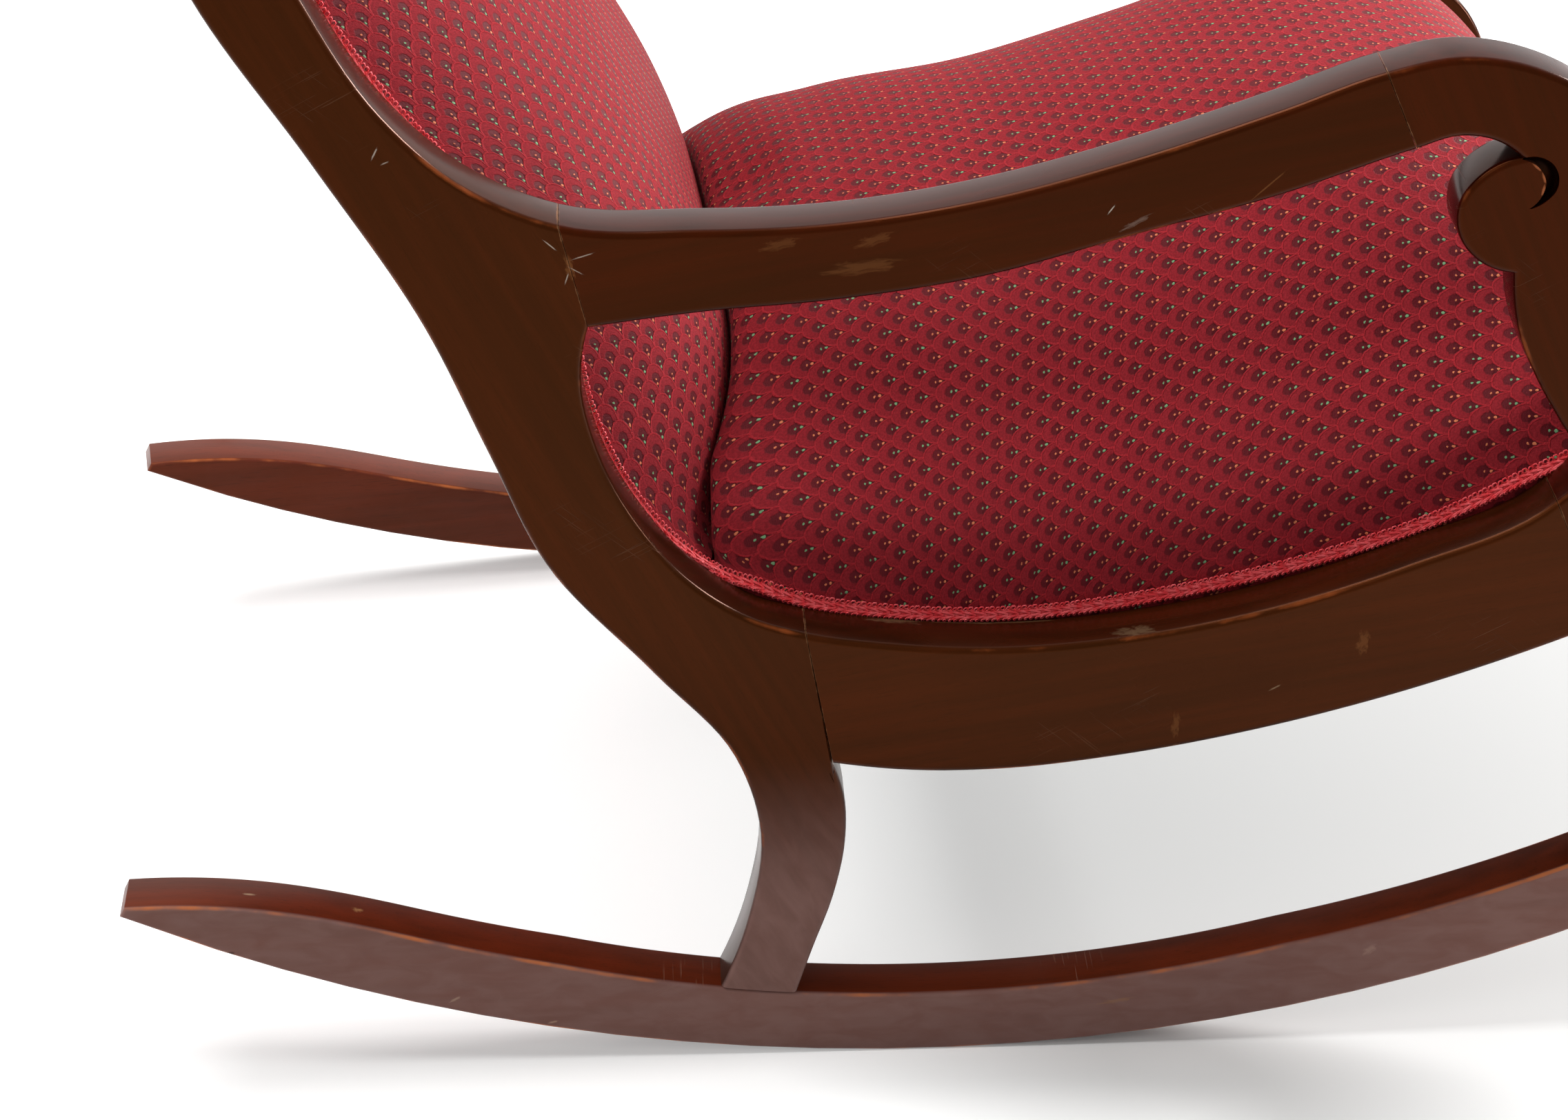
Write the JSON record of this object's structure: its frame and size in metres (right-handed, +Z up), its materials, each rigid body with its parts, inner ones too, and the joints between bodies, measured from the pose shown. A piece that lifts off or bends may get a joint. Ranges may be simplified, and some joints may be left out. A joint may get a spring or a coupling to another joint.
{
  "type": "rocking chair",
  "caption": "Upholstered rocking chair with shaped plank side frames on curved rockers, open arms ending in scrolls, a sprung seat and a tall padded back.",
  "frame": {"origin": "on the floor under the middle of the chair, midway between the rocker tips", "axes": "+Z up, the chair faces -Y, +X towards the sitter's left"},
  "size_m": [0.652, 0.9196, 1.0607],
  "materials": {
    "mahogany": "gloss",
    "beech": "matte",
    "jute": "matte",
    "spring_steel": "satin",
    "burlap": "matte",
    "stuffing": "matte",
    "brocade": "matte",
    "cambric": "matte"
  },
  "bodies": {
    "root": {"right_rocker": "mahogany", "right_rear_post": "mahogany", "right_front_post": "mahogany", "right_arm": "mahogany", "right_seat_rail": "mahogany", "right_arm_rear_dowel_1": "beech", "right_arm_rear_dowel_2": "beech", "right_arm_front_dowel_1": "beech", "right_arm_front_dowel_2": "beech", "right_rail_rear_dowel_1": "beech", "right_rail_rear_dowel_2": "beech", "right_rail_front_dowel_1": "beech", "right_rail_front_dowel_2": "beech", "left_rocker": "mahogany", "left_rear_post": "mahogany", "left_front_post": "mahogany", "left_arm": "mahogany", "left_seat_rail": "mahogany", "left_arm_rear_dowel_1": "beech", "left_arm_rear_dowel_2": "beech", "left_arm_front_dowel_1": "beech", "left_arm_front_dowel_2": "beech", "left_rail_rear_dowel_1": "beech", "left_rail_rear_dowel_2": "beech", "left_rail_front_dowel_1": "beech", "left_rail_front_dowel_2": "beech", "right_seat_batten": "beech", "right_back_batten": "beech", "left_seat_batten": "beech", "left_back_batten": "beech", "crest_rail": "mahogany", "rear_seat_rail": "beech", "front_seat_rail": "beech", "lower_back_rail": "beech", "seat_webbing_long_1": "jute", "seat_webbing_long_2": "jute", "seat_webbing_long_3": "jute", "seat_webbing_cross_1": "jute", "seat_webbing_cross_2": "jute", "seat_spring_1": "spring_steel", "seat_spring_2": "spring_steel", "seat_spring_3": "spring_steel", "seat_spring_4": "spring_steel", "seat_spring_5": "spring_steel", "seat_spring_6": "spring_steel", "seat_burlap": "burlap", "seat_stuffing": "stuffing", "seat_cover": "brocade", "dust_cover": "cambric", "back_webbing_1": "jute", "back_webbing_2": "jute", "back_webbing_3": "jute", "back_burlap": "burlap", "back_stuffing": "stuffing", "back_cover": "brocade", "outside_back_cover": "brocade"}
  },
  "joints": []
}
